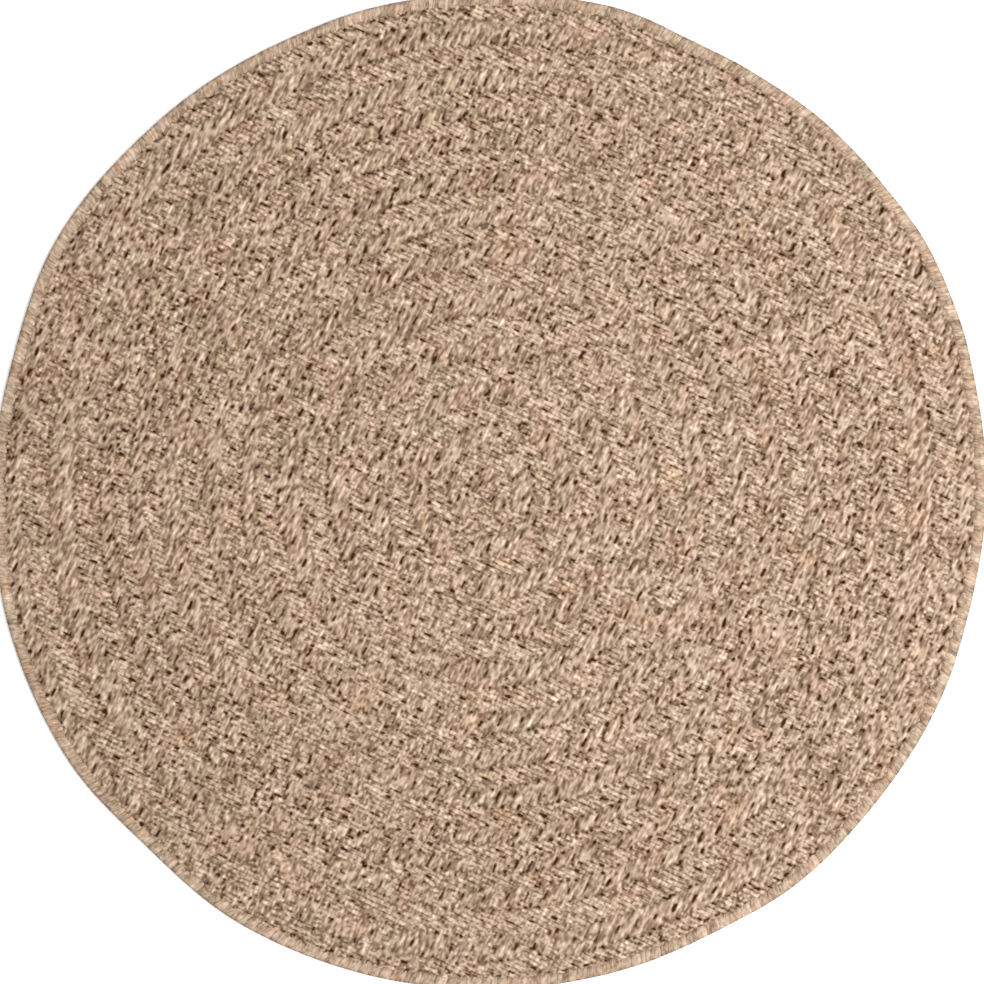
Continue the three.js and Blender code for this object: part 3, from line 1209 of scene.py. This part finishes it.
def stitch_tree():
    """Overcast edge: a section swept along the rim, drawn in between one stitch and the next."""
    tree, given, result = new_tree(
        "overcast_stitches",
        "GeometryNodeTree",
        {
            "Geometry": "Geometry",
            "Section": "Object",
            "Groove Depth": 0.4 * MM,
            "Pair Depth": 0.9 * MM,
            "Draw Together": 0.35,
            "Base Light": 0.53,
            "Material": "Material",
        },
        {"Geometry": "Geometry"},
    )
    rim = add(tree, "GeometryNodeMeshToCurve", {"Mesh": given.outputs["Geometry"]})
    outline = add(tree, "GeometryNodeObjectInfo", {"Object": given.outputs["Section"]})
    section = add(tree, "GeometryNodeMeshToCurve", {"Mesh": outline.outputs["Geometry"]})
    lines = {"Curve": rim.outputs[0], "Profile Curve": section.outputs[0]}
    ring = add(tree, "GeometryNodeCurveToMesh", lines)
    # Two stitches go down into one needle hole, so their inner ends draw together
    angle = named(tree, "angle")
    inner_end = named(tree, "inner_end")
    drawn = inner_end * inner_end * Field(tree, given.outputs["Draw Together"])
    place = angle - (angle - named(tree, "hole_angle")) * drawn + named(tree, "lean")
    rounding = (named(tree, "share") * math.pi).math("SINE").math("ABSOLUTE").math("SQRT")
    groove = (1 - rounding) * Field(tree, given.outputs["Groove Depth"])
    between_pairs = named(tree, "between_pairs") * inner_end * Field(tree, given.outputs["Pair Depth"])
    pressed = groove + between_pairs + named(tree, "press")
    inset = named(tree, "inward") + named(tree, "further") * inner_end - pressed * named(tree, "normal_in")
    radius = named(tree, "rim_radius") + named(tree, "widening") * (place - angle) - inset
    height = (named(tree, "height") - pressed * named(tree, "normal_up")).math("MAXIMUM", 0.0)
    spot = join(tree, radius * place.math("COSINE"), radius * place.math("SINE"), height)
    inputs = {"Geometry": ring.outputs[0], "Position": spot}
    wrapped = add(tree, "GeometryNodeSetPosition", inputs).outputs[0]
    # Painted shade: darker in the groove between two stitches, at their inner ends and down the outer side
    light = Field(tree, given.outputs["Base Light"]) + named(tree, "tone") - (1 - rounding) * 0.07
    light = light - inner_end * 0.1 - named(tree, "outer_side") * 0.13
    wrapped = stored(tree, wrapped, "light", light)
    yarn = join(tree, named(tree, "along"), named(tree, "rim_length"), named(tree, "stitch") * (5 * MM))
    wrapped = stored(tree, wrapped, "stitch_place", yarn, "FLOAT_VECTOR")
    smooth = add(tree, "GeometryNodeSetShadeSmooth", {"Geometry": wrapped}).outputs[0]
    closing_nodes(tree, smooth, given, result)
    return tree


def edge_rim(sizes):
    """The rim as a closed line with a few points a stitch, each with its stitch's own unevenness."""
    rng = np.random.default_rng(sizes.seed + 4)
    starts = stitch_starts(sizes)
    count = len(starts)
    widths = np.diff(starts, append=starts[0] + count)
    shares = np.array(STITCH_SHARES)
    stitch = np.repeat(np.arange(count), len(shares))
    share = np.tile(shares, count)
    turn = starts[stitch] + widths[stitch] * share
    angle = turn * TAU / count
    radius = outline_radius(angle)
    step = 0.001
    places = np.stack([radius * np.cos(angle), radius * np.sin(angle), 0 * angle], axis=1)
    return closed_line(
        "edge_rim",
        places,
        stitch=stitch,
        share=share,
        angle=angle,
        hole_angle=starts[2 * (stitch // 2) + 1] * TAU / count,
        rim_length=turn * sizes.stitch_pitch,
        rim_radius=radius,
        widening=(outline_radius(angle + step) - outline_radius(angle - step)) / (2 * step),
        between_pairs=(share == 0) & (stitch % 2 == 0),
        press=rng.uniform(0, 0.2 * MM, count)[stitch],
        further=rng.normal(0, 0.7 * MM, count)[stitch],
        tone=rng.normal(0, 0.06, count)[stitch],
        hue=rng.normal(0, 1, count)[stitch],
    )


def edge_section(sizes):
    """The edge's section as a closed line, each point with its place, its normal and its painted shade."""
    inward = np.array([row["inward"] for row in EDGE_SECTION]) * MM
    height = np.array([row["height"] for row in EDGE_SECTION]) * MM
    across_in = np.roll(inward, -1) - np.roll(inward, 1)
    across_up = np.roll(height, -1) - np.roll(height, 1)
    length = np.hypot(across_in, across_up)
    steps = np.hypot(np.diff(inward, prepend=inward[0]), np.diff(height, prepend=height[0]))
    return closed_line(
        "edge_section",
        np.stack([inward, height, 0 * height], axis=1),
        inward=inward,
        height=height,
        normal_in=across_up / length,
        normal_up=-across_in / length,
        along=np.cumsum(steps),
        lean=stitch_lean(inward, sizes) * sizes.stitch_pitch / MEAN_RADIUS,
        # The inner end and the outer side also set where painted shade falls on the stitches
        inner_end=np.clip((inward - 9 * MM) / (5.8 * MM), 0, 1),
        outer_side=np.clip(1 - inward / (2.6 * MM), 0, 1),
    )


class RUG_OT_stitched_edge(bpy.types.Operator):
    """Wrap the overcast stitches around the rug's edge, as one closed ring"""

    bl_idname = "rug.stitched_edge"
    bl_label = "Stitched Edge"

    def execute(self, context):
        sizes = context.scene.rug_sizes
        section = placed("edge_section", edge_section(sizes))
        piece = grow("overcast_stitches", edge_rim(sizes), stitch_tree(), edge_material(), Section=section)
        bpy.data.objects.remove(section)
        close_up(piece.data)
        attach(piece, "root")
        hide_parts("overcast_edge")
        return {"FINISHED"}


class RUG_OT_stage(bpy.types.Operator):
    """Set up the floor, the soft studio light and the camera straight above"""

    bl_idname = "rug.stage"
    bl_label = "Stage"

    def execute(self, context):
        scene = context.scene
        # The floor lies just under the rug and reaches to the picture's border in every view
        floor_mesh = bpy.data.meshes.new("floor")
        reach = 40.0
        level = -0.1 * MM
        ways = ((-1, -1), (1, -1), (1, 1), (-1, 1))
        corners = [(reach * x, reach * y, level) for x, y in ways]
        floor_mesh.from_pydata(corners, [], [(0, 1, 2, 3)])
        floor = placed("floor", floor_mesh)
        material, _, shader = new_material("pale_floor")
        shader.inputs["Base Color"].default_value = (0.9, 0.9, 0.9, 1)
        shader.inputs["Roughness"].default_value = 0.8
        floor_mesh.materials.append(material)

        world = bpy.data.worlds.new("studio")
        world.use_nodes = True
        world.node_tree.nodes["Background"].inputs["Color"].default_value = (1, 1, 1, 1)
        world.node_tree.nodes["Background"].inputs["Strength"].default_value = 0.6
        scene.world = world

        lights = (
            ("key", (1.6, -0.3, 2.4), 2.0, 95),
            ("fill", (-1.2, 0.8, 2.6), 2.0, 20),
        )
        for name, where, width, power in lights:
            lamp = bpy.data.lights.new(name, "AREA")
            lamp.size = width
            lamp.energy = power
            holder = placed(name, lamp)
            holder.location = where
            holder.rotation_euler = (-Vector(where)).to_track_quat("-Z", "Y").to_euler()

        camera_data = bpy.data.cameras.new("camera")
        camera_data.lens = 85
        camera_data.sensor_width = 36
        camera = placed("camera", camera_data)
        scene.camera = camera
        pixel = 2 * MEAN_RADIUS / RUG_WIDTH
        distance = PICTURE_WIDTH * pixel * camera_data.lens / camera_data.sensor_width
        side, down = LEFT_OF_MIDDLE * pixel, ABOVE_MIDDLE * pixel
        camera.location = (side, -down, distance + CLOTH_HIGH.z)
        scene.view_settings.view_transform = "Standard"
        return {"FINISHED"}


class RUG_PT_panel(bpy.types.Panel):
    """Lists the steps that build the rug"""

    bl_label = "Woven Outdoor Rug"
    bl_idname = "RUG_PT_panel"
    bl_space_type = "VIEW_3D"
    bl_region_type = "UI"
    bl_category = "Rug"

    def draw(self, context):
        for step in STEPS:
            self.layout.operator(step)


STEPS = (
    "rug.woven_top",
    "rug.ground_cloth",
    "rug.stitched_edge",
    "rug.stage",
)

CLASSES = (
    RugSizes,
    RugColours,
    RUG_OT_woven_top,
    RUG_OT_ground_cloth,
    RUG_OT_stitched_edge,
    RUG_OT_stage,
    RUG_PT_panel,
)


def register():
    for item in CLASSES:
        bpy.utils.register_class(item)
    bpy.types.Scene.rug_sizes = bpy.props.PointerProperty(type=RugSizes)
    bpy.types.Scene.rug_colours = bpy.props.PointerProperty(type=RugColours)


def unregister():
    del bpy.types.Scene.rug_colours
    del bpy.types.Scene.rug_sizes
    for item in reversed(CLASSES):
        bpy.utils.unregister_class(item)


def main():
    """Builds the rug and its stage."""
    register()
    bpy.ops.rug.woven_top()
    bpy.ops.rug.ground_cloth()
    bpy.ops.rug.stitched_edge()
    bpy.ops.rug.stage()


if __name__ == "__main__":
    main()
